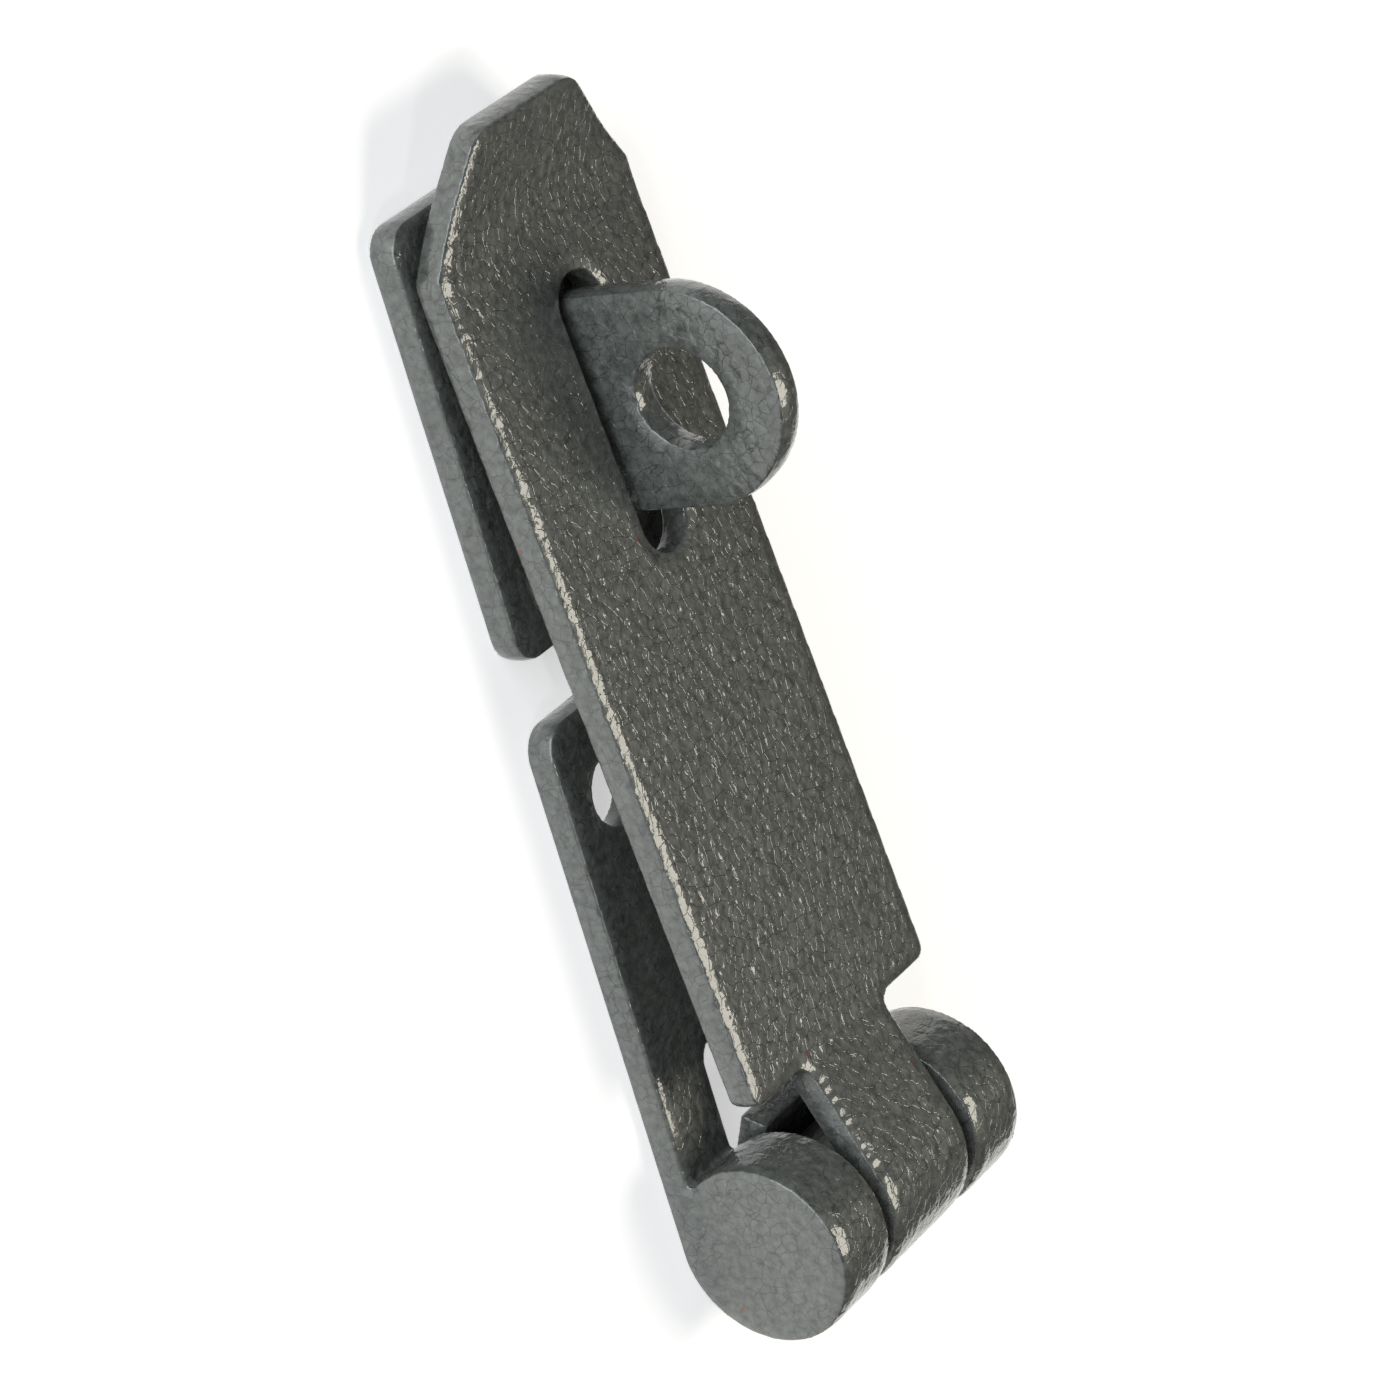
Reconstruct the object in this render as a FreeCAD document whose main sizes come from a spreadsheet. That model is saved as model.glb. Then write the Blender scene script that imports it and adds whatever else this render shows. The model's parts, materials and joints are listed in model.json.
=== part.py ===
"""Heavy-duty hasp and staple in 4 mm steel flat bar, in the closed position.

Frame: the mounting plane is z = 0 and +Z points away from the door. The origin lies under
the middle of the closed hasp's overall length. The strap runs along X with its tip toward
-X, and the hinge pin lies along Y at x = midlength.
"""
import FreeCAD, Part
import os
from math import asin, cos, degrees, radians, sin, tan

from FreeCAD import Placement, Rotation, Vector
import Sketcher

doc = FreeCAD.newDocument("HaspAndStaple")
Z_AXIS = Vector(0, 0, 1)
# how closely two places must agree, and the cosines for "parallel" and "no corner here"
NEAR = 1e-3
PARALLEL = 0.999
RUNS_ON = 0.9
# lengths of the cuts, all long enough to leave the metal, and the least that a cut removes
CUT_LENGTH = 400
NOTCH_RUN = 40
TAPER_RUN = 5
PAST_METAL = 1
LEAST_CUT = 1

# ---------------------------------------------------------------- driving sizes
SIZES = {
    # bar stock and the rounding of its painted edges
    "stock": 4.0,
    "arris": 0.35,
    "leafwide": 42.0,
    "strapwide": 40.0,
    # hinge: pin, knuckle rolls and the gap for the strap's barrel
    "knuckle": 11.5,
    "pinradius": 7.35,
    "running": 0.05,
    "barrelwide": 18.0,
    "gapwide": 21.2,
    "gapdeep": 22.0,
    "gapcorner": 2.0,
    "plugthick": 2.0,
    "pinend": 0.1,
    "closefit": 0.03,
    "straprollend": 30.5,
    "straptail": 8.4,
    # hinge leaf
    "leaflong": 68.0,
    "platecorner": 4.0,
    "boltradius": 4.0,
    "boltinset": 11.5,
    "boltspread": 23.5,
    "boltcentre": 34.0,
    # hasp strap, measured from the pin's axis with the strap lying flat
    "strapfront": 6.8,
    "shoulder": 18.3,
    "shoulderround": 1.8,
    "rise": 15.0,
    "risebend": 6.0,
    "liftstart": 118.5,
    "liftradius": 28.0,
    "lift": 22.0,
    "tipreach": 135.5,
    "tipshoulder": 122.5,
    "tipwide": 20.8,
    "tipround": 4.5,
    "shouldercorner": 1.0,
    "slotwide": 8.1,
    "slotstart": 80.0,
    "slotend": 114.4,
    "slotoffset": 2.7,
    "closedtilt": 4.8,
    # staple: back plate and padlock eye
    "plateend": 129.4,
    "platelong": 53.6,
    "screwradius": 3.25,
    "sinkradius": 6.25,
    "screwx": 38.0,
    "screwy": 17.0,
    "eyecentre": 99.0,
    "eyeheight": 19.85,
    "eyeradius": 13.5,
    "eyethick": 4.3,
    "shackle": 6.0,
    "tenonlong": 18.0,
    # pin's axis to the middle of the closed hasp's overall length
    "midlength": 62.75,
}
sheet = doc.addObject("Spreadsheet::Sheet", "Sizes")
for row, (alias, value) in enumerate(SIZES.items(), start=1):
    sheet.set(f"A{row}", alias)
    sheet.set(f"B{row}", str(value))
    sheet.setAlias(f"B{row}", alias)
doc.recompute()


def size(alias):
    """A driving size as the sheet holds it."""
    return float(sheet.get(alias))


# ---------------------------------------------------------------- helpers
def new_body(label):
    body = doc.addObject("PartDesign::Body", label)
    body.Label = label
    return body


def new_sketch(body, name, plane):
    """An empty sketch on one of the body's own origin planes."""
    sketch = body.newObject("Sketcher::SketchObject", name)
    datum = next(f for f in body.Origin.OriginFeatures if f.Role == plane)
    sketch.AttachmentSupport = (datum, [""])
    sketch.MapMode = "FlatFace"
    return sketch


def driven(sketch, kind, *where, formula, start):
    """A dimension of the sketch that follows a formula in the sheet's sizes."""
    index = sketch.addConstraint(Sketcher.Constraint(kind, *where, start))
    sketch.setExpression(f"Constraints[{index}]", formula)


def on_axes(sketch, point, x_formula, y_formula, x_start, y_start):
    """Places a point of the sketch at x and y from the sketch's origin."""
    for kind, formula, start in (("DistanceX", x_formula, x_start), ("DistanceY", y_formula, y_start)):
        index = sketch.addConstraint(Sketcher.Constraint(kind, -1, 1, *point, start))
        sketch.setExpression(f"Constraints[{index}]", formula)


def solved(sketch):
    state = sketch.solve()
    if state != 0:
        raise RuntimeError(f"{sketch.Label} doesn't solve: {state}")
    if sketch.DoF:
        raise RuntimeError(f"{sketch.Label} has {sketch.DoF} free directions")
    return sketch


def line(sketch, start, end):
    return sketch.addGeometry(Part.LineSegment(Vector(*start), Vector(*end)), False)


def arc(sketch, centre, radius, first, last):
    """An arc, anticlockwise from first to last, in degrees."""
    circle = Part.Circle(Vector(*centre), Z_AXIS, radius)
    return sketch.addGeometry(Part.ArcOfCircle(circle, radians(first), radians(last)), False)


def join(sketch, first, first_end, second, second_end, smooth=False):
    """Joins two ends, tangentially where the outline runs on without a corner."""
    kind = "Tangent" if smooth else "Coincident"
    sketch.addConstraint(Sketcher.Constraint(kind, first, first_end, second, second_end))


def rectangle(sketch, centre, wide, high, corner_formulas, wide_formula, high_formula):
    """A rectangle held by its width, its height and its lower left corner."""
    left, right = centre[0] - wide / 2, centre[0] + wide / 2
    low, high_side = centre[1] - high / 2, centre[1] + high / 2
    corners = [(left, low, 0), (right, low, 0), (right, high_side, 0), (left, high_side, 0)]
    sides = [line(sketch, corners[n], corners[(n + 1) % 4]) for n in range(4)]
    for n in range(4):
        join(sketch, sides[n], 2, sides[(n + 1) % 4], 1)
        sketch.addConstraint(Sketcher.Constraint("Horizontal" if n % 2 == 0 else "Vertical", sides[n]))
    driven(sketch, "DistanceX", sides[0], 1, sides[0], 2, formula=wide_formula, start=wide)
    driven(sketch, "DistanceY", sides[1], 1, sides[1], 2, formula=high_formula, start=high)
    on_axes(sketch, (sides[0], 1), *corner_formulas, left, low)


def polygon(sketch, corners):
    """A closed outline whose corners each follow their own pair of formulas."""
    count = len(corners)
    sides = [line(sketch, (*corners[n][:2], 0), (*corners[(n + 1) % count][:2], 0)) for n in range(count)]
    for n, (x, y, x_formula, y_formula) in enumerate(corners):
        join(sketch, sides[n - 1], 2, sides[n], 1)
        on_axes(sketch, (sides[n], 1), x_formula, y_formula, x, y)


def circle_at(sketch, centre, radius, x_formula, y_formula, radius_formula):
    index = sketch.addGeometry(Part.Circle(Vector(*centre, 0), Z_AXIS, radius), False)
    on_axes(sketch, (index, 3), x_formula, y_formula, *centre)
    driven(sketch, "Radius", index, formula=radius_formula, start=radius)


def pad(body, sketch, name, formula):
    """Thickens a sketch equally to both sides of its plane."""
    feature = body.newObject("PartDesign::Pad", name)
    feature.Profile = sketch
    feature.SideType = "Symmetric"
    feature.setExpression("Length", formula)
    doc.recompute()


def cut_through(body, sketch, name):
    """Cuts a sketch right through the body, to both sides of its plane."""
    before = body.Shape.Volume
    feature = body.newObject("PartDesign::Pocket", name)
    feature.Profile = sketch
    feature.SideType = "Symmetric"
    feature.setExpression("Length", f"{CUT_LENGTH}")
    doc.recompute()
    if body.Shape.Volume > before - LEAST_CUT:
        raise RuntimeError(f"{name} cuts nothing")


def round_edges(body, name, formula, chosen):
    """Rounds the edges of the body so far for which chosen(edge) is true."""
    base = body.Tip
    names = [f"Edge{n}" for n, edge in enumerate(base.Shape.Edges, start=1) if chosen(edge)]
    feature = body.newObject("PartDesign::Fillet", name)
    feature.Base = (base, names)
    feature.Refine = False
    feature.setExpression("Radius", formula)
    doc.recompute()


def middle(edge):
    return edge.valueAt((edge.FirstParameter + edge.LastParameter) / 2)


def is_straight(edge, direction):
    """True for a straight edge along the direction."""
    if not isinstance(edge.Curve, Part.Line):
        return False
    return abs(edge.tangentAt(edge.FirstParameter).dot(direction)) > PARALLEL


def is_ring(edge):
    """True for a whole circle, such as a bore's rim."""
    return isinstance(edge.Curve, Part.Circle) and edge.isClosed()


def is_sharp(shape, edge):
    """True where the two faces beside an edge meet at a corner."""
    at = middle(edge)
    normals = []
    for face in shape.ancestorsOfType(edge, Part.Face):
        normals.append(face.normalAt(*face.Surface.parameter(at)))
    return len(normals) == 2 and abs(normals[0].dot(normals[1])) < RUNS_ON


# ---------------------------------------------------------------- hinge leaf
def make_hinge_leaf():
    """Fixed leaf: a flat bar whose end is rolled right round and closed onto its own front face."""
    body = new_body("hinge_leaf")
    outer, thick, long = size("knuckle"), size("stock"), size("leaflong")
    inner = outer - thick
    closed = 180 + degrees(asin(inner / outer))

    side = new_sketch(body, "LeafSide", "XZ_Plane")
    back = line(side, (-long, 0, 0), (0, 0, 0))
    roll = arc(side, (0, outer, 0), outer, -90, closed)
    front = line(side, (outer * cos(radians(closed)), thick, 0), (-long, thick, 0))
    free = line(side, (-long, thick, 0), (-long, 0, 0))
    join(side, back, 2, roll, 1, smooth=True)
    join(side, roll, 2, front, 1)
    join(side, front, 2, free, 1)
    join(side, free, 2, back, 1)
    for level in (back, front):
        side.addConstraint(Sketcher.Constraint("Horizontal", level))
    side.addConstraint(Sketcher.Constraint("Vertical", free))
    side.addConstraint(Sketcher.Constraint("PointOnObject", roll, 3, -2))
    side.addConstraint(Sketcher.Constraint("PointOnObject", back, 2, -1))
    bore = side.addGeometry(Part.Circle(Vector(0, outer, 0), Z_AXIS, inner), False)
    side.addConstraint(Sketcher.Constraint("Coincident", bore, 3, roll, 3))
    driven(side, "Radius", roll, formula="Sizes.knuckle", start=outer)
    driven(side, "Radius", bore, formula="Sizes.knuckle - Sizes.stock", start=inner)
    driven(side, "DistanceX", free, 2, -1, 1, formula="Sizes.leaflong", start=long)
    driven(side, "DistanceY", free, 2, free, 1, formula="Sizes.stock", start=thick)
    pad(body, solved(side), "LeafBar", "Sizes.leafwide")

    gap = new_sketch(body, "KnuckleGap", "XY_Plane")
    reach = outer + PAST_METAL
    rectangle(gap, ((reach - size("gapdeep")) / 2, 0), reach + size("gapdeep"), size("gapwide"),
              ("-Sizes.gapdeep", "-Sizes.gapwide / 2"),
              f"Sizes.gapdeep + Sizes.knuckle + {PAST_METAL}", "Sizes.gapwide")
    cut_through(body, solved(gap), "KnuckleGapCut")

    bolts = new_sketch(body, "LeafBolts", "XY_Plane")
    radius, row = size("boltradius"), -(long - size("boltinset"))
    for sign, formula in ((-1, "-Sizes.boltspread / 2"), (1, "Sizes.boltspread / 2")):
        circle_at(bolts, (row, sign * size("boltspread") / 2), radius,
                  "Sizes.boltinset - Sizes.leaflong", formula, "Sizes.boltradius")
    third = bolts.addGeometry(Part.Circle(Vector(-size("boltcentre"), 0, 0), Z_AXIS, radius), False)
    bolts.addConstraint(Sketcher.Constraint("PointOnObject", third, 3, -1))
    driven(bolts, "DistanceX", third, 3, -1, 1, formula="Sizes.boltcentre", start=size("boltcentre"))
    driven(bolts, "Radius", third, formula="Sizes.boltradius", start=radius)
    cut_through(body, solved(bolts), "LeafBoltHoles")

    round_edges(body, "LeafCorners", "Sizes.platecorner",
                lambda e: is_straight(e, Z_AXIS) and abs(middle(e).x + long) < NEAR)
    round_edges(body, "GapCorners", "Sizes.gapcorner",
                lambda e: is_straight(e, Z_AXIS) and abs(middle(e).x + size("gapdeep")) < NEAR)

    def on_outline(edge):
        at = middle(edge)
        off_centre = Vector(at.x, 0, at.z - outer).Length
        in_roll = at.x > -outer and at.z > thick - NEAR and off_centre < outer - NEAR
        in_gap = (at.x > -size("gapdeep") - NEAR and abs(at.y) < size("gapwide") / 2 + NEAR
                  and off_centre > outer + NEAR)
        if is_ring(edge) or is_straight(edge, Z_AXIS) or in_roll or in_gap:
            return False
        return is_sharp(body.Tip.Shape, edge)

    round_edges(body, "LeafArrises", "Sizes.arris", on_outline)
    return body


# ---------------------------------------------------------------- hasp strap
def shoulder_notch(sketch, sign, half):
    """What is cut away beside the barrel: open outwards, with its inner corner rounded."""
    shoulder, inner, round_off = -size("shoulder"), sign * size("barrelwide") / 2, size("shoulderround")
    outside, beyond = sign * (half + PAST_METAL), shoulder + NOTCH_RUN
    outer = line(sketch, (shoulder, outside, 0), (beyond, outside, 0))
    far = line(sketch, (beyond, outside, 0), (beyond, inner, 0))
    flank = line(sketch, (beyond, inner, 0), (shoulder + round_off, inner, 0))
    face = line(sketch, (shoulder, inner + sign * round_off, 0), (shoulder, outside, 0))
    first, last = (180, 270) if sign > 0 else (90, 180)
    corner = arc(sketch, (shoulder + round_off, inner + sign * round_off, 0), round_off, first, last)
    join(sketch, outer, 2, far, 1)
    join(sketch, far, 2, flank, 1)
    join(sketch, flank, 2, corner, 2 if sign > 0 else 1, smooth=True)
    join(sketch, corner, 1 if sign > 0 else 2, face, 1, smooth=True)
    join(sketch, face, 2, outer, 1)
    for level in (outer, flank):
        sketch.addConstraint(Sketcher.Constraint("Horizontal", level))
    for upright in (far, face):
        sketch.addConstraint(Sketcher.Constraint("Vertical", upright))
    on_axes(sketch, (outer, 1), "-Sizes.shoulder", f"{sign} * (Sizes.strapwide / 2 + {PAST_METAL})",
            shoulder, outside)
    on_axes(sketch, (far, 2), f"{NOTCH_RUN} - Sizes.shoulder", f"{sign} * Sizes.barrelwide / 2",
            beyond, inner)
    driven(sketch, "Radius", corner, formula="Sizes.shoulderround", start=round_off)


def make_hasp_strap():
    """Swinging strap, drawn about the pin's axis and then tilted onto the staple plate."""
    body = new_body("hasp_strap")
    thick, front_z = size("stock"), size("strapfront")
    bore = size("pinradius") + size("running")
    barrel = bore + thick
    back_z = front_z - thick
    rise, lift = radians(size("rise")), radians(size("lift"))
    bend, curl = size("risebend"), size("liftradius")
    start, reach = size("liftstart"), size("tipreach")
    past, tail = size("straprollend"), size("straptail")
    end = radians(270 - past)

    # front face: tip, lift bend, flat, bend at the shoulder, rise, barrel
    touch = (-barrel * sin(rise), barrel * cos(rise))
    run = (touch[1] - front_z - bend * (1 - cos(rise))) / tan(rise)
    foot = touch[0] - run
    lift_end = -start - curl * sin(lift)
    lift_top = front_z + curl * (1 - cos(lift))
    tip_top = (-reach, lift_top + (reach + lift_end) * tan(lift))
    flat_end = foot - bend * sin(rise)

    side = new_sketch(body, "StrapSide", "XZ_Plane")
    tip_front = line(side, (*tip_top, 0), (lift_end, lift_top, 0))
    lift_front = arc(side, (-start, front_z + curl, 0), curl, 270 - size("lift"), 270)
    flat_front = line(side, (-start, front_z, 0), (flat_end, front_z, 0))
    bend_front = arc(side, (flat_end, front_z + bend, 0), bend, 270, 270 + size("rise"))
    rise_front = line(side, (foot, front_z + bend * (1 - cos(rise)), 0), (*touch, 0))
    barrel_out = arc(side, (0, 0, 0), barrel, -90 - past, 90 + size("rise"))
    out_from, in_from = [(r * cos(end), r * sin(end), 0) for r in (barrel, bore)]
    out_to, in_to = [(x + tail * sin(end), z - tail * cos(end), 0) for x, z, _ in (out_from, in_from)]
    tail_out = line(side, out_from, out_to)
    roll_end = line(side, out_to, in_to)
    tail_in = line(side, in_to, in_from)
    barrel_in = arc(side, (0, 0, 0), bore, -90 - past, 90 + size("rise"))
    low_touch = (-bore * sin(rise), bore * cos(rise))
    low_foot = (flat_end + (bend + thick) * sin(rise), back_z + (bend + thick) * (1 - cos(rise)))
    rise_back = line(side, (*low_touch, 0), (*low_foot, 0))
    bend_back = arc(side, (flat_end, front_z + bend, 0), bend + thick, 270, 270 + size("rise"))
    flat_back = line(side, (flat_end, back_z, 0), (-start, back_z, 0))
    lift_back = arc(side, (-start, front_z + curl, 0), curl + thick, 270 - size("lift"), 270)
    low_lift = (-start - (curl + thick) * sin(lift), front_z + curl - (curl + thick) * cos(lift))
    tip_low = (tip_top[0] - thick * sin(lift), tip_top[1] - thick * cos(lift))
    tip_back = line(side, (*low_lift, 0), (*tip_low, 0))
    tip_end = line(side, (*tip_low, 0), (*tip_top, 0))

    join(side, tip_front, 2, lift_front, 1, smooth=True)
    join(side, lift_front, 2, flat_front, 1, smooth=True)
    join(side, flat_front, 2, bend_front, 1, smooth=True)
    join(side, bend_front, 2, rise_front, 1, smooth=True)
    join(side, rise_front, 2, barrel_out, 2, smooth=True)
    join(side, barrel_out, 1, tail_out, 1, smooth=True)
    join(side, tail_out, 2, roll_end, 1)
    join(side, roll_end, 2, tail_in, 1)
    join(side, tail_in, 2, barrel_in, 1, smooth=True)
    join(side, barrel_in, 2, rise_back, 1, smooth=True)
    join(side, rise_back, 2, bend_back, 2, smooth=True)
    join(side, bend_back, 1, flat_back, 1, smooth=True)
    join(side, flat_back, 2, lift_back, 2, smooth=True)
    join(side, lift_back, 1, tip_back, 1, smooth=True)
    join(side, tip_back, 2, tip_end, 1)
    join(side, tip_end, 2, tip_front, 1)
    for centre in (barrel_out, barrel_in):
        side.addConstraint(Sketcher.Constraint("Coincident", centre, 3, -1, 1))
    side.addConstraint(Sketcher.Constraint("Coincident", bend_front, 3, bend_back, 3))
    side.addConstraint(Sketcher.Constraint("Coincident", lift_front, 3, lift_back, 3))
    for level in (flat_front, flat_back):
        side.addConstraint(Sketcher.Constraint("Horizontal", level))
    side.addConstraint(Sketcher.Constraint("Perpendicular", roll_end, tail_out))
    side.addConstraint(Sketcher.Constraint("Parallel", tail_in, tail_out))
    side.addConstraint(Sketcher.Constraint("Perpendicular", tip_end, tip_front))
    side.addConstraint(Sketcher.Constraint("Parallel", tip_back, tip_front))
    driven(side, "Radius", barrel_out, formula="Sizes.pinradius + Sizes.running + Sizes.stock", start=barrel)
    driven(side, "Radius", barrel_in, formula="Sizes.pinradius + Sizes.running", start=bore)
    driven(side, "Radius", lift_front, formula="Sizes.liftradius", start=curl)
    driven(side, "Radius", bend_front, formula="Sizes.risebend", start=bend)
    driven(side, "DistanceY", -1, 1, flat_front, 1, formula="Sizes.strapfront", start=front_z)
    driven(side, "DistanceY", flat_back, 2, flat_front, 1, formula="Sizes.stock", start=thick)
    driven(side, "DistanceX", flat_front, 1, -1, 1, formula="Sizes.liftstart", start=start)
    driven(side, "DistanceX", tip_front, 1, -1, 1, formula="Sizes.tipreach", start=reach)
    driven(side, "Angle", rise_front, formula="Sizes.rise", start=rise)
    driven(side, "Angle", tip_front, formula="-Sizes.lift", start=-lift)
    driven(side, "DistanceX", barrel_out, 1, -1, 1, start=barrel * sin(radians(past)),
           formula="(Sizes.pinradius + Sizes.running + Sizes.stock) * sin(Sizes.straprollend)")
    driven(side, "Distance", tail_out, formula="Sizes.straptail", start=tail)
    pad(body, solved(side), "StrapBar", "Sizes.strapwide")

    half = size("strapwide") / 2
    for sign, name in ((-1, "Left"), (1, "Right")):
        notch = new_sketch(body, f"Shoulder{name}", "XY_Plane")
        shoulder_notch(notch, sign, half)
        cut_through(body, solved(notch), f"ShoulderCut{name}")

        taper = new_sketch(body, f"Taper{name}", "XY_Plane")
        slope = (half - size("tipwide") / 2) / (reach - size("tipshoulder"))
        past_tip = f"-Sizes.tipreach - {TAPER_RUN}"
        past_side = f"{sign} * (Sizes.strapwide / 2 + {PAST_METAL})"
        over_formula = (f"Sizes.tipwide / 2 - {TAPER_RUN} * (Sizes.strapwide - Sizes.tipwide) / 2"
                        " / (Sizes.tipreach - Sizes.tipshoulder)")
        polygon(taper, [
            (-size("tipshoulder"), sign * half, "-Sizes.tipshoulder", f"{sign} * Sizes.strapwide / 2"),
            (-reach - TAPER_RUN, sign * (size("tipwide") / 2 - TAPER_RUN * slope), past_tip,
             f"{sign} * ({over_formula})"),
            (-reach - TAPER_RUN, sign * (half + PAST_METAL), past_tip, past_side),
            (-size("tipshoulder"), sign * (half + PAST_METAL), "-Sizes.tipshoulder", past_side),
        ])
        cut_through(body, solved(taper), f"TaperCut{name}")

    slot = new_sketch(body, "EyeSlot", "XY_Plane")
    radius, offset = size("slotwide") / 2, size("slotoffset")
    near, far = -size("slotstart") - radius, -size("slotend") + radius
    right_cap = arc(slot, (near, offset, 0), radius, -90, 90)
    left_cap = arc(slot, (far, offset, 0), radius, 90, 270)
    top = line(slot, (near, offset + radius, 0), (far, offset + radius, 0))
    bottom = line(slot, (far, offset - radius, 0), (near, offset - radius, 0))
    join(slot, right_cap, 2, top, 1, smooth=True)
    join(slot, top, 2, left_cap, 1, smooth=True)
    join(slot, left_cap, 2, bottom, 1, smooth=True)
    join(slot, bottom, 2, right_cap, 1, smooth=True)
    for flank in (top, bottom):
        slot.addConstraint(Sketcher.Constraint("Horizontal", flank))
    driven(slot, "Radius", right_cap, formula="Sizes.slotwide / 2", start=radius)
    on_axes(slot, (right_cap, 3), "-Sizes.slotstart - Sizes.slotwide / 2", "Sizes.slotoffset", near, offset)
    driven(slot, "DistanceX", left_cap, 3, -1, 1, formula="Sizes.slotend - Sizes.slotwide / 2", start=-far)
    cut_through(body, solved(slot), "EyeSlotCut")

    def upright(edge, x, y):
        at = middle(edge)
        return is_straight(edge, Z_AXIS) and abs(at.x - x) < NEAR and abs(abs(at.y) - y) < NEAR

    round_edges(body, "TipCorners", "Sizes.tipround",
                lambda e: middle(e).x < -reach and abs(middle(e).y) > NEAR)
    round_edges(body, "TipShoulders", "Sizes.shouldercorner",
                lambda e: upright(e, -size("tipshoulder"), half))
    round_edges(body, "ShoulderCorners", "Sizes.shoulderround",
                lambda e: upright(e, -size("shoulder"), half))

    def on_outline(edge):
        at = middle(edge)
        off_centre = Vector(at.x, 0, at.z).Length
        inside = at.x > -size("shoulder") and off_centre < barrel - NEAR and at.z < back_z + bend
        at_tail = isinstance(edge.Curve, Part.Line) and at.z < 0 and off_centre < barrel + tail
        hidden = inside or at_tail or is_straight(edge, Z_AXIS)
        return is_sharp(body.Tip.Shape, edge) and not hidden

    round_edges(body, "StrapArrises", "Sizes.arris", on_outline)
    return body


# ---------------------------------------------------------------- hinge pin and plugs
def make_disc_body(label, radius_formula, radius, length_formula):
    """A round bar along Y, centred on its own origin."""
    body = new_body(label)
    section = new_sketch(body, f"{label}_section", "XZ_Plane")
    circle = section.addGeometry(Part.Circle(Vector(0, 0, 0), Z_AXIS, radius), False)
    section.addConstraint(Sketcher.Constraint("Coincident", circle, 3, -1, 1))
    driven(section, "Radius", circle, formula=radius_formula, start=radius)
    pad(body, solved(section), f"{label}_bar", length_formula)
    return body


def make_hinge_pin():
    """Plain steel pin, hidden between the two knuckle plugs."""
    return make_disc_body("hinge_pin", "Sizes.pinradius", size("pinradius"),
                          "Sizes.leafwide - 2 * (Sizes.plugthick + Sizes.pinend)")


def make_knuckle_plug(side):
    """Disc set flush into the mouth of one outer knuckle, so that the pin can't be driven out."""
    radius = size("knuckle") - size("stock") - size("closefit")
    return make_disc_body(f"knuckle_plug_{side}", "Sizes.knuckle - Sizes.stock - Sizes.closefit", radius,
                          "Sizes.plugthick")


# ---------------------------------------------------------------- staple
def make_staple_plate():
    """Back plate of the staple, with four countersunk screw holes and the eye's tenon slot."""
    body = new_body("staple_plate")
    long, wide = size("platelong"), size("leafwide")
    outline = new_sketch(body, "PlateOutline", "XY_Plane")
    rectangle(outline, (0, 0), long, wide, ("-Sizes.platelong / 2", "-Sizes.leafwide / 2"),
              "Sizes.platelong", "Sizes.leafwide")
    pad(body, solved(outline), "PlateBar", "Sizes.stock")

    centre = long / 2 - size("plateend")
    fit = 2 * size("closefit")
    tenon = new_sketch(body, "TenonSlot", "XY_Plane")
    shift = -size("eyecentre") - centre
    low_corner = ("Sizes.plateend - Sizes.platelong / 2 - Sizes.eyecentre"
                  " - Sizes.tenonlong / 2 - Sizes.closefit",
                  "Sizes.slotoffset - Sizes.eyethick / 2 - Sizes.closefit")
    rectangle(tenon, (shift, size("slotoffset")), size("tenonlong") + fit, size("eyethick") + fit,
              low_corner, "Sizes.tenonlong + 2 * Sizes.closefit", "Sizes.eyethick + 2 * Sizes.closefit")
    cut_through(body, solved(tenon), "TenonSlotCut")

    screws = new_sketch(body, "Screws", "XY_Plane")
    for x_sign in (-1, 1):
        for y_sign in (-1, 1):
            at = (x_sign * size("screwx") / 2, y_sign * size("screwy") / 2)
            circle_at(screws, at, size("screwradius"), f"{x_sign} * Sizes.screwx / 2",
                      f"{y_sign} * Sizes.screwy / 2", "Sizes.screwradius")
    cut_through(body, solved(screws), "ScrewHoles")
    top = size("stock") / 2
    base = body.Tip
    rims = [f"Edge{n}" for n, edge in enumerate(base.Shape.Edges, start=1)
            if isinstance(edge.Curve, Part.Circle) and abs(middle(edge).z - top) < NEAR]
    sinks = body.newObject("PartDesign::Chamfer", "Countersinks")
    sinks.Base = (base, rims)
    sinks.setExpression("Size", "Sizes.sinkradius - Sizes.screwradius")
    doc.recompute()

    round_edges(body, "PlateCorners", "Sizes.platecorner",
                lambda e: is_straight(e, Z_AXIS) and abs(abs(middle(e).x) - long / 2) < NEAR)
    round_edges(body, "PlateArrises", "Sizes.arris",
                lambda e: is_sharp(body.Tip.Shape, e) and abs(middle(e).z - top) < NEAR
                and max(abs(middle(e).x) - long / 2, abs(middle(e).y) - wide / 2) > -size("platecorner") / 2)
    return body


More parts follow.
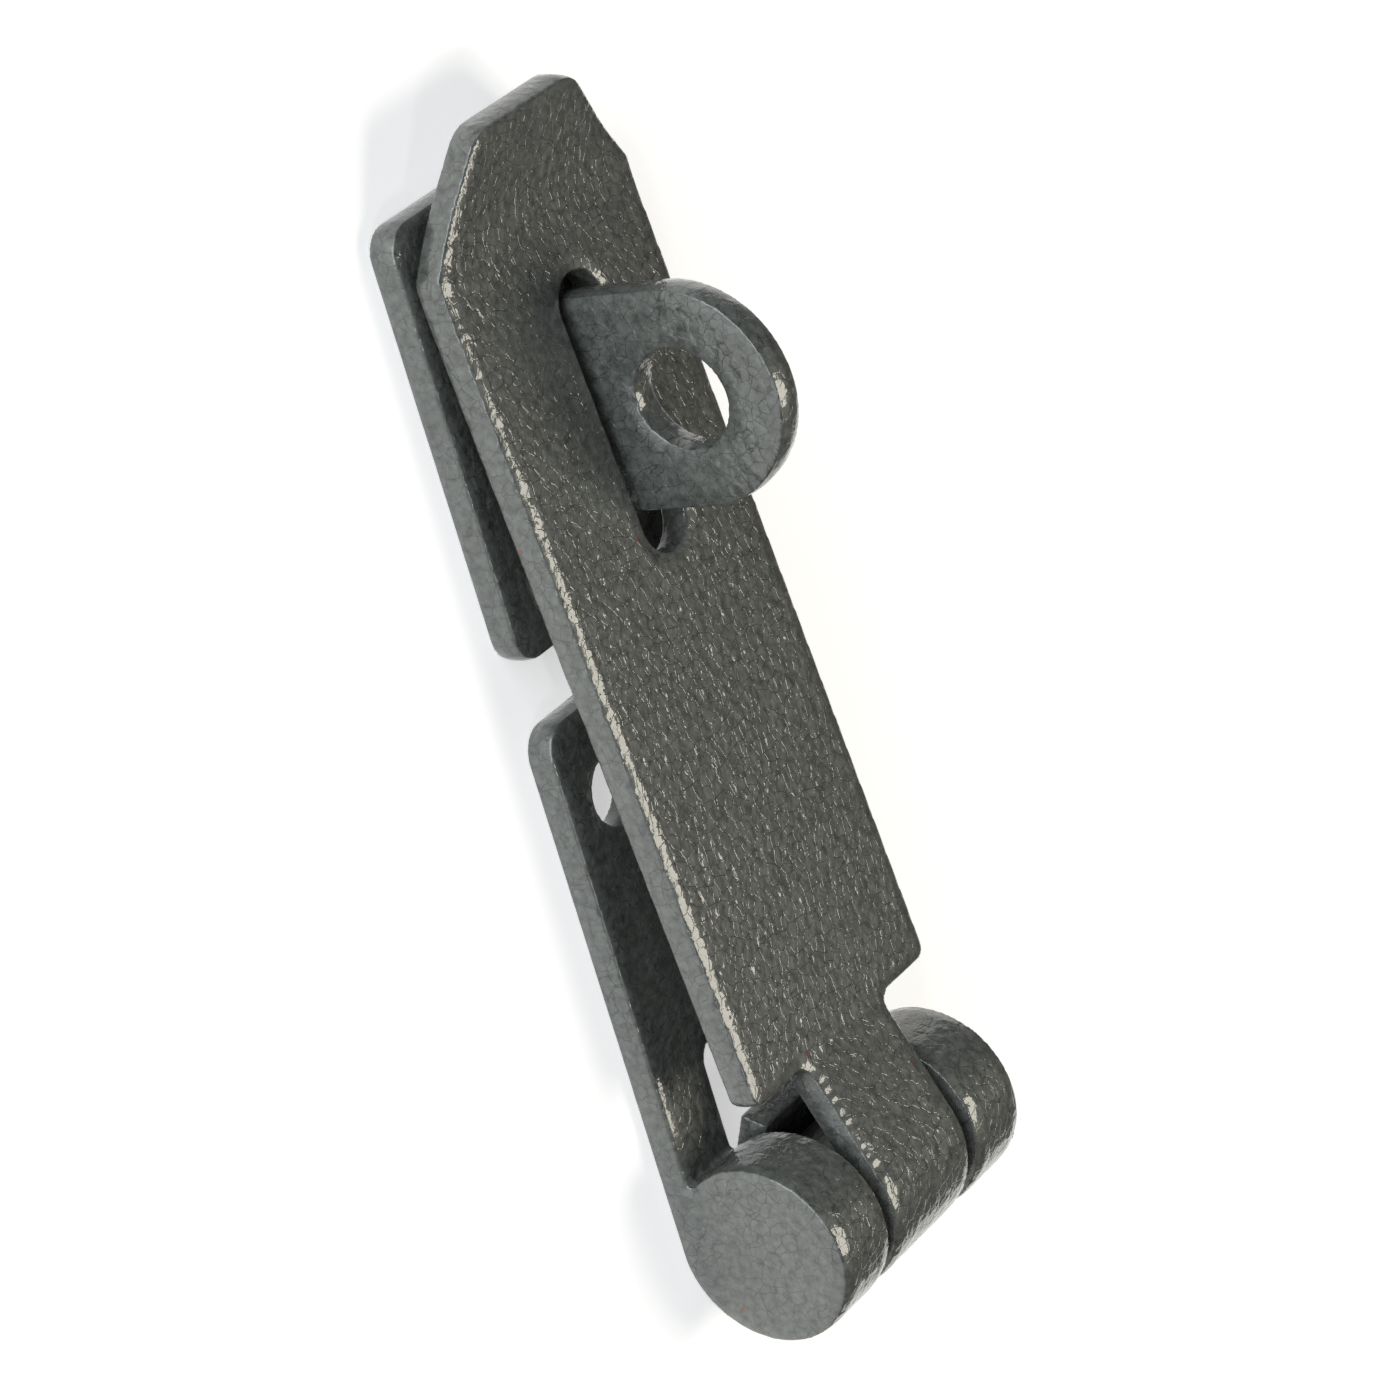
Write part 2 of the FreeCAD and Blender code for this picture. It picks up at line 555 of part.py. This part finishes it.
def make_staple_eye():
    """Padlock eye: a D of bar with a shackle hole and a tenon through the back plate."""
    body = new_body("staple_eye")
    radius, foot = size("eyeradius"), size("stock")
    height, tenon = size("eyeheight"), size("tenonlong") / 2
    side = new_sketch(body, "EyeSide", "XZ_Plane")
    dome = arc(side, (0, height, 0), radius, 0, 180)
    corners = [(-radius, height, 0), (-radius, foot, 0), (-tenon, foot, 0), (-tenon, 0, 0),
               (tenon, 0, 0), (tenon, foot, 0), (radius, foot, 0), (radius, height, 0)]
    sides = [line(side, corners[n], corners[n + 1]) for n in range(7)]
    join(side, dome, 2, sides[0], 1, smooth=True)
    join(side, sides[6], 2, dome, 1, smooth=True)
    for n in range(6):
        join(side, sides[n], 2, sides[n + 1], 1)
    for n in (1, 3, 5):
        side.addConstraint(Sketcher.Constraint("Horizontal", sides[n]))
    for n in (0, 2, 4, 6):
        side.addConstraint(Sketcher.Constraint("Vertical", sides[n]))
    side.addConstraint(Sketcher.Constraint("PointOnObject", dome, 3, -2))
    side.addConstraint(Sketcher.Constraint("Symmetric", sides[3], 1, sides[3], 2, -1, 1))
    driven(side, "Radius", dome, formula="Sizes.eyeradius", start=radius)
    driven(side, "DistanceY", -1, 1, dome, 3, formula="Sizes.eyeheight", start=height)
    driven(side, "DistanceX", sides[3], 1, sides[3], 2, formula="Sizes.tenonlong", start=2 * tenon)
    driven(side, "DistanceY", sides[3], 1, sides[1], 2, formula="Sizes.stock", start=foot)
    driven(side, "DistanceY", sides[3], 2, sides[5], 1, formula="Sizes.stock", start=foot)
    pad(body, solved(side), "EyeBlank", "Sizes.eyethick")

    hole = new_sketch(body, "ShackleHole", "XZ_Plane")
    ring = hole.addGeometry(Part.Circle(Vector(0, height, 0), Z_AXIS, size("shackle")), False)
    hole.addConstraint(Sketcher.Constraint("PointOnObject", ring, 3, -2))
    driven(hole, "DistanceY", -1, 1, ring, 3, formula="Sizes.eyeheight", start=height)
    driven(hole, "Radius", ring, formula="Sizes.shackle", start=size("shackle"))
    cut_through(body, solved(hole), "ShackleHoleCut")
    round_edges(body, "EyeArrises", "Sizes.arris",
                lambda e: abs(abs(middle(e).y) - size("eyethick") / 2) < NEAR and middle(e).z > foot + NEAR
                and is_sharp(body.Tip.Shape, e) and not is_ring(e))
    return body


# ---------------------------------------------------------------- assembly
def place(body, x_formula="0", y_formula="0", z_formula="0"):
    """Sets a piece down from the point under the pin's axis, on the mounting plane."""
    for axis, formula in (("x", f"Sizes.midlength + {x_formula}"), ("y", y_formula), ("z", z_formula)):
        body.setExpression(f"Placement.Base.{axis}", formula)
    return body


def assemble():
    leaf = place(make_hinge_leaf())
    strap = make_hasp_strap()
    strap.Placement = Placement(Vector(0, 0, 0), Rotation(Vector(0, -1, 0), size("closedtilt")))
    strap.setExpression("Placement.Rotation.Angle", "Sizes.closedtilt")
    place(strap, z_formula="Sizes.knuckle")
    pin = place(make_hinge_pin(), z_formula="Sizes.knuckle")
    plugs = [place(make_knuckle_plug(side), y_formula=f"{sign} * (Sizes.leafwide - Sizes.plugthick) / 2",
                   z_formula="Sizes.knuckle") for side, sign in (("left", -1), ("right", 1))]
    plate = place(make_staple_plate(), x_formula="Sizes.platelong / 2 - Sizes.plateend",
                  z_formula="Sizes.stock / 2")
    eye = place(make_staple_eye(), x_formula="-Sizes.eyecentre", y_formula="Sizes.slotoffset")
    return [leaf, strap, pin, *plugs, plate, eye]


def check_and_write(bodies):
    """Stops on any failed object or bad solid, then writes one STEP file for each piece."""
    doc.recompute()
    for item in doc.Objects:
        if {"Invalid", "Error"} & set(item.State):
            raise RuntimeError(f"{item.Label} failed: {item.State}")
        if item.TypeId.startswith("PartDesign::") and not item.Shape.isValid():
            raise RuntimeError(f"{item.Label} leaves a bad shape")
    for body in bodies:
        if body.Shape.isNull() or not body.Shape.isValid() or len(body.Shape.Solids) != 1:
            raise RuntimeError(f"{body.Label} isn't one valid solid")
    os.makedirs("parts", exist_ok=True)
    for body in bodies:
        body.Shape.exportStep(f"parts/{body.Label}.step")
        print(f"{body.Label}: {body.Shape.Volume:.0f} mm3")


check_and_write(assemble())
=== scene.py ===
"""Looks for the hasp and staple: thick hammered enamel over flat bar, lying on a pale floor."""
import json
import math

import bmesh
import bpy
import numpy as np
from mathutils import Matrix, Vector, noise
from mathutils.bvhtree import BVHTree
from mathutils.kdtree import KDTree


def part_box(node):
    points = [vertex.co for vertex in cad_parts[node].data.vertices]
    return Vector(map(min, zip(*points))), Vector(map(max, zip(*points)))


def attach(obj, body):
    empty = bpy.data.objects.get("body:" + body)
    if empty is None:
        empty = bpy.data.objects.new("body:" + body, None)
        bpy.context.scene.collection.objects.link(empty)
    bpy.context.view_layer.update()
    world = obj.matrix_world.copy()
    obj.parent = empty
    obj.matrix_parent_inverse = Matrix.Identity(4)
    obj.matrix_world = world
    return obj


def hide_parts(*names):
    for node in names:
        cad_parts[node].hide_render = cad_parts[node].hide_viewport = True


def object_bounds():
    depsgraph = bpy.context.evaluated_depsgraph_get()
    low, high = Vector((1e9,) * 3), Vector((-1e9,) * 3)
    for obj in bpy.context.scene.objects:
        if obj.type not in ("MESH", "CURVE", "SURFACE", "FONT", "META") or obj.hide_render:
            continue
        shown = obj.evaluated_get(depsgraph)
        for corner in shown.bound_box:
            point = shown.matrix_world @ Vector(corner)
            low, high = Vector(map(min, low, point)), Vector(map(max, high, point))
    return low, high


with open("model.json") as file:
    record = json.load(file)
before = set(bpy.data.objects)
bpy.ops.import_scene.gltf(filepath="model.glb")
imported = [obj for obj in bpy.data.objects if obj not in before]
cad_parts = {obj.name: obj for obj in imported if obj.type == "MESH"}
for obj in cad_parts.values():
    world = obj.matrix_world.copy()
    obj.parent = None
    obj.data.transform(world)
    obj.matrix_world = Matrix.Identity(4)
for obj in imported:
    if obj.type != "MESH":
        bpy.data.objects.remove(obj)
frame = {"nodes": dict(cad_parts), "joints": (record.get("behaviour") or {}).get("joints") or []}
CAD_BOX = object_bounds()

MM = 0.001
HINGE = Vector(frame["joints"][0]["pos_m"])

# ------------------------------------------------------------------ camera
AZIMUTH = math.radians(-23.589)
ELEVATION = math.radians(35.761)
ROLL = math.radians(87.322)
DISTANCE = 0.69954
LOOK_AT = Vector((-0.0005, 0, 0.0096))
LENS_MM = 157.03
SENSOR_MM = 36.0

# ------------------------------------------------------------------ paint film
# the skin laid over the CAD faces: its grid, and how often it is evened out
VOXEL = 0.39 * MM
RELAX_STEPS = 2
SAME_PLACE = 1e-6
# thick paint thins towards an arris, within this reach and by this much
CROWN_REACH = 1.5 * MM
CROWN_DEPTH = 0.25 * MM
# slow waves and small pillows of the hammered film, calmer beside an arris; a pillow's reach is a
# share of DIMPLE
WAVE = 2.8 * MM
WAVE_DEPTH = 0.035 * MM
DIMPLE = 1.5 * MM
DIMPLE_DEPTH = 0.050 * MM
PILLOW_REACH = 0.8
CALM_AT_ARRIS = 0.35
# 1 - cosine of the turn between two neighbouring normals that counts as an arris
CORNER_TURN = 0.12
# how far the strap's bore stays off the pin
BORE_CLEARANCE = 0.05 * MM

# ------------------------------------------------------------------ paint and steel
CELL = 1.7 * MM
CELL_WARP = 1.6 * MM
CELL_SHIFT = 0.9 * MM
MOTTLE = 1.1 * MM
CLOUD = 9 * MM
WORN_PATCH = 5 * MM
SPECK_SPACING = 9 * MM
RIPPLE = 1.3 * MM
RIPPLE_HEIGHT = 0.20 * MM
GROOVE_SHARE = 0.10
DARK_PAINT = (0.068, 0.073, 0.065)
LIGHT_PAINT = (0.144, 0.153, 0.140)
RUST = (0.16, 0.05, 0.03, 1)
STREAK = 0.3 * MM
STREAK_HEIGHT = 0.02 * MM
DARK_STEEL = (0.05, 0.052, 0.05)
LIGHT_STEEL = (0.13, 0.13, 0.125)

# ------------------------------------------------------------------ stage
FLOOR_HALF = 3.0
FLOOR_GAP = 0.05 * MM
FLOOR_TONE = 0.12
WHITE = (1.0, 1.0, 1.0)
WARM = (1.0, 0.94, 0.82)
COOL = (0.90, 0.955, 1.0)
SKY = (0.93, 0.96, 1.0, 1)
SKY_STRENGTH = 0.08
CLIP_NEAR = 0.01
CLIP_FAR = 20


def joined_mesh(name, nodes):
    """One closed mesh from the CAD nodes, with doubled corners merged."""
    bm = bmesh.new()
    for node in nodes:
        bm.from_mesh(frame["nodes"][node].data)
    bmesh.ops.remove_doubles(bm, verts=bm.verts, dist=SAME_PLACE)
    mesh = bpy.data.meshes.new(name)
    bm.to_mesh(mesh)
    bm.free()
    return mesh


def remeshed(name, nodes):
    """An object with an even skin of small quads over the CAD nodes."""
    coarse = bpy.data.objects.new(f"{name}_coarse", joined_mesh(f"{name}_coarse", nodes))
    bpy.context.scene.collection.objects.link(coarse)
    modifier = coarse.modifiers.new("Skin", "REMESH")
    modifier.mode = "VOXEL"
    modifier.voxel_size = VOXEL
    modifier.use_smooth_shade = True
    graph = bpy.context.evaluated_depsgraph_get()
    mesh = bpy.data.meshes.new_from_object(coarse.evaluated_get(graph))
    mesh.name = name
    bpy.data.objects.remove(coarse)
    piece = bpy.data.objects.new(name, mesh)
    bpy.context.scene.collection.objects.link(piece)
    return piece


def vectors(mesh, name):
    """A row for each vertex: its place ("co") or its smooth outward normal ("normal")."""
    flat = np.empty(len(mesh.vertices) * 3, np.float32)
    mesh.vertices.foreach_get(name, flat)
    return flat.reshape(-1, 3).astype(float)


def edge_ends(mesh):
    """A row for each edge: the vertices at its two ends."""
    flat = np.empty(len(mesh.edges) * 2, np.int64)
    mesh.edges.foreach_get("vertices", flat)
    return flat.reshape(-1, 2)


def move_to(mesh, points):
    mesh.vertices.foreach_set("co", points.astype(np.float32).ravel())
    mesh.update()


def surface_of(nodes):
    """A search tree over the CAD faces of the nodes."""
    source = joined_mesh("source", nodes)
    bm = bmesh.new()
    bm.from_mesh(source)
    bmesh.ops.triangulate(bm, faces=bm.faces)
    tree = BVHTree.FromBMesh(bm)
    bm.free()
    bpy.data.meshes.remove(source)
    return tree


def snapped(points, surface):
    """The nearest places on the CAD faces, and the outward normals there."""
    found = [surface.find_nearest(Vector(p)) for p in points]
    return np.array([f[0] for f in found]), np.array([f[1] for f in found])


def neighbour_mean(points, edges):
    """The middle of each vertex's neighbours."""
    total, count = np.zeros_like(points), np.zeros(len(points))
    for here, there in ((0, 1), (1, 0)):
        np.add.at(total, edges[:, here], points[edges[:, there]])
        np.add.at(count, edges[:, here], 1)
    return total / count[:, None]


def distance_from_corners(points, normals, edges):
    """For each vertex, how far it is from the nearest vertex on an outward corner."""
    first, second = edges[:, 0], edges[:, 1]
    turn = 1 - (normals[first] * normals[second]).sum(1)
    along = points[second] - points[first]
    outward = ((normals[second] - normals[first]) * along).sum(1) > 0
    sharp = np.unique(edges[(turn > CORNER_TURN) & outward])
    tree = KDTree(len(sharp))
    for place, index in enumerate(sharp):
        tree.insert(Vector(points[index]), place)
    tree.balance()
    return np.array([tree.find(Vector(p))[2] for p in points])


def film_depth(point):
    """How far the paint's surface lies below its highest level at a point."""
    wave = noise.noise(point / WAVE)
    near = noise.voronoi(point / DIMPLE)[0][0]
    pillow = min(near, PILLOW_REACH) / PILLOW_REACH
    return WAVE_DEPTH * (0.5 - 0.5 * wave) + DIMPLE_DEPTH * pillow * pillow


def painted(name, nodes, body):
    """A painted piece: thick paint crowns its faces towards the arrises, and lies hammered in between."""
    piece = remeshed(name, nodes)
    mesh = piece.data
    edges = edge_ends(mesh)
    surface = surface_of(nodes)
    points, normals = snapped(vectors(mesh, "co"), surface)
    for _ in range(RELAX_STEPS):
        points, normals = snapped(neighbour_mean(points, edges), surface)
    away = distance_from_corners(points, normals, edges)
    crown = CROWN_DEPTH * np.clip(1 - away / CROWN_REACH, 0, 1) ** 2
    calm = np.clip(away / CROWN_REACH, CALM_AT_ARRIS, 1)
    mesh.attributes.new("calm", "FLOAT", "POINT").data.foreach_set("value", calm.astype(np.float32))
    move_to(mesh, points)
    outward = vectors(mesh, "normal")
    depths = crown + calm * np.array([film_depth(Vector(p)) for p in points])
    move_to(mesh, points - outward * depths[:, None])
    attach(piece, body)
    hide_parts(*nodes)
    return piece


def clear_of_pin(piece):
    """Opens the strap's barrel again to its running fit, after the skin has rounded it."""
    low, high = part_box("hinge_pin")
    wanted = (high.x - low.x) / 2 + BORE_CLEARANCE
    mesh = piece.data
    for vertex in mesh.vertices:
        x, z = vertex.co.x - HINGE.x, vertex.co.z - HINGE.z
        radius = math.hypot(x, z)
        if radius < wanted:
            vertex.co.x = HINGE.x + x * wanted / radius
            vertex.co.z = HINGE.z + z * wanted / radius
    mesh.update()


# ------------------------------------------------------------------ materials
class Nodes:
    """A short way to build a material's node tree."""

    def __init__(self, name):
        self.material = bpy.data.materials.new(name)
        self.material.use_nodes = True
        self.tree = self.material.node_tree
        self.shader = self.tree.nodes["Principled BSDF"]

    def add(self, kind, **settings):
        node = self.tree.nodes.new(f"ShaderNode{kind}")
        for name, value in settings.items():
            setattr(node, name, value)
        return node

    def link(self, source, target):
        self.tree.links.new(source, target)

    def noise(self, coords, size, detail=2.0, roughness=0.5, distortion=0.0):
        node = self.add("TexNoise")
        self.link(coords, node.inputs["Vector"])
        node.inputs["Scale"].default_value = 1 / size
        node.inputs["Detail"].default_value = detail
        node.inputs["Roughness"].default_value = roughness
        node.inputs["Distortion"].default_value = distortion
        return node.outputs["Fac"]

    def ramp(self, source, *stops):
        node = self.add("ValToRGB")
        self.link(source, node.inputs["Fac"])
        elements = node.color_ramp.elements
        while len(elements) < len(stops):
            elements.new(0.5)
        for element, (place, colour) in zip(elements, stops):
            element.position = place
            element.color = colour if len(colour) == 4 else (*colour, 1)
        return node.outputs["Color"]

    def feed(self, value, socket):
        """Links another node's output to the socket, or sets a plain value on it."""
        if isinstance(value, bpy.types.NodeSocket):
            self.link(value, socket)
        else:
            socket.default_value = value

    def mix(self, kind, factor, first, second):
        node = self.add("Mix", data_type="RGBA", blend_type=kind)
        for value, place in ((factor, 0), (first, 6), (second, 7)):
            self.feed(value, node.inputs[place])
        return node.outputs[2]

    def maths(self, operation, first, second):
        node = self.add("Math", operation=operation)
        self.feed(first, node.inputs[0])
        self.feed(second, node.inputs[1])
        return node.outputs[0]

    def set(self, **values):
        for name, value in values.items():
            self.shader.inputs[name.replace("_", " ")].default_value = value


def grey(level):
    return (level, level, level, 1)


def hammered_paint():
    """Dark grey-green enamel with metal flake, drawn into small cells with fine dark lines between."""
    n = Nodes("hammered_paint")
    coords = n.add("TexCoord").outputs["Object"]

    warp = n.add("TexNoise")
    n.link(coords, warp.inputs["Vector"])
    warp.inputs["Scale"].default_value = 1 / CELL_WARP
    warped = n.add("VectorMath", operation="MULTIPLY_ADD")
    n.link(warp.outputs["Color"], warped.inputs[0])
    warped.inputs[1].default_value = (CELL_SHIFT,) * 3
    n.link(coords, warped.inputs[2])
    cells = n.add("TexVoronoi", feature="DISTANCE_TO_EDGE")
    n.link(warped.outputs[0], cells.inputs["Vector"])
    cells.inputs["Scale"].default_value = 1 / CELL
    line = n.ramp(cells.outputs["Distance"], (0.0, grey(0)), (0.045, grey(1)))

    mottle = n.noise(coords, MOTTLE, detail=3, roughness=0.6)
    cloud = n.noise(coords, CLOUD, detail=2)
    base = n.ramp(mottle, (0.32, DARK_PAINT), (0.68, LIGHT_PAINT))
    clouds = n.ramp(cloud, (0.3, grey(0.86)), (0.7, grey(1.0)))
    base = n.mix("MULTIPLY", 1.0, base, clouds)
    shade = n.ramp(line, (0.0, grey(0.34)), (1.0, grey(1.0)))
    patchy = n.ramp(n.noise(coords, WORN_PATCH), (0.35, grey(0.35)), (0.6, grey(1.0)))
    base = n.mix("MULTIPLY", patchy, base, shade)
    specks = n.add("TexVoronoi", feature="F1")
    n.link(coords, specks.inputs["Vector"])
    specks.inputs["Scale"].default_value = 1 / SPECK_SPACING
    spot = n.ramp(specks.outputs["Distance"], (0.028, grey(1)), (0.045, grey(0)))
    base = n.mix("MIX", spot, base, RUST)
    n.link(base, n.shader.inputs["Base Color"])

    rough = n.ramp(mottle, (0.3, grey(0.44)), (0.7, grey(0.56)))
    n.link(rough, n.shader.inputs["Roughness"])
    n.set(Metallic=0.22, Coat_Weight=1.0, Coat_Roughness=0.07, Coat_IOR=1.5)

    calm = n.add("Attribute", attribute_name="calm").outputs["Fac"]
    ripple = n.noise(coords, RIPPLE, detail=1.5, roughness=0.42, distortion=0.3)
    groove = n.maths("MULTIPLY", line, GROOVE_SHARE)
    height = n.maths("MULTIPLY", n.maths("ADD", ripple, groove), calm)
    bump = n.add("Bump")
    bump.inputs["Strength"].default_value = 1.0
    bump.inputs["Distance"].default_value = RIPPLE_HEIGHT
    n.link(height, bump.inputs["Height"])
    n.link(bump.outputs["Normal"], n.shader.inputs["Normal"])
    n.link(bump.outputs["Normal"], n.shader.inputs["Coat Normal"])
    return n.material


def pin_steel():
    """Drawn steel bar darkened by stray paint."""
    n = Nodes("pin_steel")
    coords = n.add("TexCoord").outputs["Object"]
    drawn = n.add("Mapping")
    n.link(coords, drawn.inputs["Vector"])
    drawn.inputs["Scale"].default_value = (1, 0.08, 1)
    streak = n.noise(drawn.outputs["Vector"], STREAK, detail=2)
    colour = n.ramp(streak, (0.35, DARK_STEEL), (0.7, LIGHT_STEEL))
    n.link(colour, n.shader.inputs["Base Color"])
    n.link(n.ramp(streak, (0.3, grey(0.3)), (0.7, grey(0.5))), n.shader.inputs["Roughness"])
    n.set(Metallic=0.8)
    bump = n.add("Bump")
    bump.inputs["Distance"].default_value = STREAK_HEIGHT
    n.link(streak, bump.inputs["Height"])
    n.link(bump.outputs["Normal"], n.shader.inputs["Normal"])
    return n.material


def pale_floor():
    """Matt white floor with some light of its own, so that its shadows stay faint."""
    n = Nodes("pale_floor")
    coords = n.add("TexCoord").outputs["Object"]
    tone = n.ramp(n.noise(coords, FLOOR_TONE, detail=2), (0.3, grey(0.90)), (0.7, grey(0.92)))
    n.link(tone, n.shader.inputs["Base Color"])
    n.set(Roughness=0.8, Emission_Color=(*WHITE, 1), Emission_Strength=0.52)
    n.shader.inputs["Specular IOR Level"].default_value = 0.1
    return n.material


# ------------------------------------------------------------------ pieces
paint = hammered_paint()
PIECES = (
    ("painted_leaf", ("hinge_leaf", "knuckle_plug_left", "knuckle_plug_right"), "base"),
    ("painted_strap", ("hasp_strap",), "strap"),
    ("painted_staple_plate", ("staple_plate",), "base"),
    ("painted_staple_eye", ("staple_eye",), "base"),
)
for name, nodes, body in PIECES:
    made = painted(name, nodes, body)
    made.data.materials.append(paint)
    if body == "strap":
        clear_of_pin(made)

pin = frame["nodes"]["hinge_pin"]
steel = pin_steel()
for place in range(len(pin.material_slots)):
    pin.material_slots[place].link = "OBJECT"
    pin.material_slots[place].material = steel

# ------------------------------------------------------------------ stage, light and camera
floor_mesh = bpy.data.meshes.new("floor")
floor_mesh.from_pydata([(-FLOOR_HALF, -FLOOR_HALF, 0), (FLOOR_HALF, -FLOOR_HALF, 0),
                        (FLOOR_HALF, FLOOR_HALF, 0), (-FLOOR_HALF, FLOOR_HALF, 0)], [], [(0, 1, 2, 3)])
floor = bpy.data.objects.new("floor", floor_mesh)
floor.location.z = CAD_BOX[0].z - FLOOR_GAP
floor.data.materials.append(pale_floor())
bpy.context.scene.collection.objects.link(floor)

world = bpy.data.worlds.new("studio")
bpy.context.scene.world = world
world.use_nodes = True
world.node_tree.nodes["Background"].inputs["Color"].default_value = SKY
world.node_tree.nodes["Background"].inputs["Strength"].default_value = SKY_STRENGTH


def softbox(name, towards, distance, wide, high, radiance, colour):
    """A rectangular light of that radiance, facing the middle of the object."""
    light = bpy.data.lights.new(name, "AREA")
    light.shape = "RECTANGLE"
    light.size, light.size_y = wide, high
    light.energy = radiance * math.pi * wide * high
    light.color = colour
    lamp = bpy.data.objects.new(name, light)
    direction = Vector(towards).normalized()
    lamp.location = LOOK_AT + direction * distance
    lamp.rotation_mode = "QUATERNION"
    lamp.rotation_quaternion = direction.to_track_quat("Z", "Y")
    bpy.context.scene.collection.objects.link(lamp)


softbox("warm_strip", towards=(0.29, 0.34, 0.89), distance=0.5, wide=0.26, high=0.16, radiance=8.6,
        colour=WARM)
softbox("key", towards=(-0.50, -0.86, 0.18), distance=1.0, wide=1.6, high=0.6, radiance=4.8, colour=COOL)
softbox("glint", towards=(0.32, -0.62, 0.72), distance=1.1, wide=0.16, high=0.03, radiance=60.0, colour=WHITE)

camera_data = bpy.data.cameras.new("camera")
camera_data.lens = LENS_MM
camera_data.sensor_width = SENSOR_MM
camera = bpy.data.objects.new("camera", camera_data)
back = Vector((math.sin(AZIMUTH) * math.cos(ELEVATION), -math.cos(AZIMUTH) * math.cos(ELEVATION),
               math.sin(ELEVATION)))
level_right = Vector((0, 0, 1)).cross(back).normalized()
level_up = back.cross(level_right)
right = math.cos(ROLL) * level_right + math.sin(ROLL) * level_up
up = math.cos(ROLL) * level_up - math.sin(ROLL) * level_right
turn = Matrix((right, up, back)).transposed()
camera.rotation_mode = "QUATERNION"
camera.rotation_quaternion = turn.to_quaternion()
camera.location = LOOK_AT + back * DISTANCE
camera_data.clip_start, camera_data.clip_end = CLIP_NEAR, CLIP_FAR
bpy.context.scene.collection.objects.link(camera)
bpy.context.scene.camera = camera
bpy.context.scene.view_settings.view_transform = "Standard"
